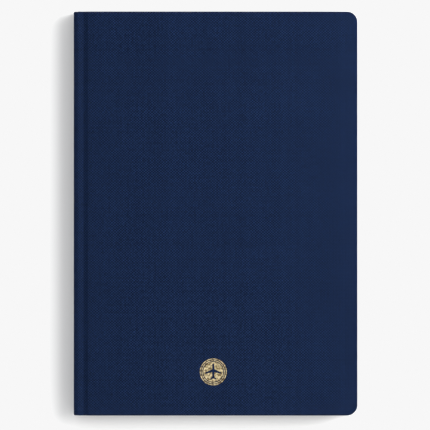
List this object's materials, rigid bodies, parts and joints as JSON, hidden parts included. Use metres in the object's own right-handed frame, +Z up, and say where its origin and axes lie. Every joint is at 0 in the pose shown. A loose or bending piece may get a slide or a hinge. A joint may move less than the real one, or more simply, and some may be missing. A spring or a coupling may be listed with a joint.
{
  "type": "pilot logbook",
  "caption": "Cloth-bound sewn hardback logbook with opening covers on cloth joints, turning leaves, a hollow spine and a small round foil emblem on the front.",
  "frame": {"origin": "under the middle of the closed book, on the surface that its back cover rests on", "axes": "+X from the spine to the fore edge, +Y from the tail to the head, +Z up through the thickness, front cover up"},
  "size_m": [0.148, 0.2108, 0.016],
  "materials": {
    "book_cloth": "matte",
    "gold_foil": "satin",
    "greyboard": "matte",
    "endpaper": "matte",
    "page_paper": "matte",
    "linen_thread": "matte",
    "gauze": "matte",
    "kraft_paper": "matte",
    "headband_cotton": "satin"
  },
  "bodies": {
    "back_cover": {"back_cloth": "book_cloth", "back_board": "greyboard", "back_pastedown": "endpaper"},
    "book_block": {"section_01": "page_paper", "section_02": "page_paper", "section_03": "page_paper", "section_04": "page_paper", "section_05": "page_paper", "section_06": "page_paper", "section_07": "page_paper", "section_08": "page_paper", "section_09": "page_paper", "section_10": "page_paper", "sewing_thread": "linen_thread", "spine_mull": "gauze", "spine_lining": "kraft_paper", "headband_head": "headband_cotton", "headband_tail": "headband_cotton", "spine_board": "greyboard", "spine_cloth": "book_cloth", "front_joint_cloth": "book_cloth", "back_joint_cloth": "book_cloth"},
    "front_cover": {"front_cloth": "book_cloth", "front_board": "greyboard", "front_pastedown": "endpaper", "foil_emblem": "gold_foil"},
    "front_flyleaf": {"front_flyleaf": "endpaper"},
    "leaf_01": {"leaf_01": "page_paper"},
    "leaf_02": {"leaf_02": "page_paper"},
    "leaf_03": {"leaf_03": "page_paper"},
    "back_flyleaf": {"back_flyleaf": "endpaper"}
  },
  "joints": [
    {"name": "back_hinge", "type": "hinge", "parent": "back_cover", "child": "book_block", "pos_m": [-0.0708, 0, 0.0032], "axis": [0, -1, 0], "range_deg": [0, 178], "deforming": ["back_joint_cloth"]},
    {"name": "front_hinge", "type": "hinge", "parent": "book_block", "child": "front_cover", "pos_m": [-0.0708, 0, 0.0128], "axis": [0, -1, 0], "range_deg": [0, 178], "deforming": ["front_joint_cloth"]},
    {"name": "front_flyleaf_turn", "type": "hinge", "parent": "book_block", "child": "front_flyleaf", "pos_m": [-0.0704, 0, 0.01255], "axis": [0, -1, 0], "range_deg": [0, 165.6]},
    {"name": "leaf_01_turn", "type": "hinge", "parent": "book_block", "child": "leaf_01", "pos_m": [-0.07, 0, 0.01235], "axis": [0, -1, 0], "range_deg": [0, 133.5]},
    {"name": "leaf_02_turn", "type": "hinge", "parent": "book_block", "child": "leaf_02", "pos_m": [-0.0696, 0, 0.01215], "axis": [0, -1, 0], "range_deg": [0, 89]},
    {"name": "leaf_03_turn", "type": "hinge", "parent": "book_block", "child": "leaf_03", "pos_m": [-0.0692, 0, 0.01195], "axis": [0, -1, 0], "range_deg": [0, 44.5]},
    {"name": "back_flyleaf_turn", "type": "hinge", "parent": "book_block", "child": "back_flyleaf", "pos_m": [-0.0704, 0, 0.00345], "axis": [0, -1, 0], "range_deg": [-89, 0]}
  ],
  "couplings": [
    {"joint": "front_flyleaf_turn", "follows": "front_hinge", "ratio": 0.93},
    {"joint": "leaf_01_turn", "follows": "front_hinge", "ratio": 0.75},
    {"joint": "leaf_02_turn", "follows": "front_hinge", "ratio": 0.5},
    {"joint": "leaf_03_turn", "follows": "front_hinge", "ratio": 0.25},
    {"joint": "back_flyleaf_turn", "follows": "back_hinge", "ratio": -0.5}
  ]
}
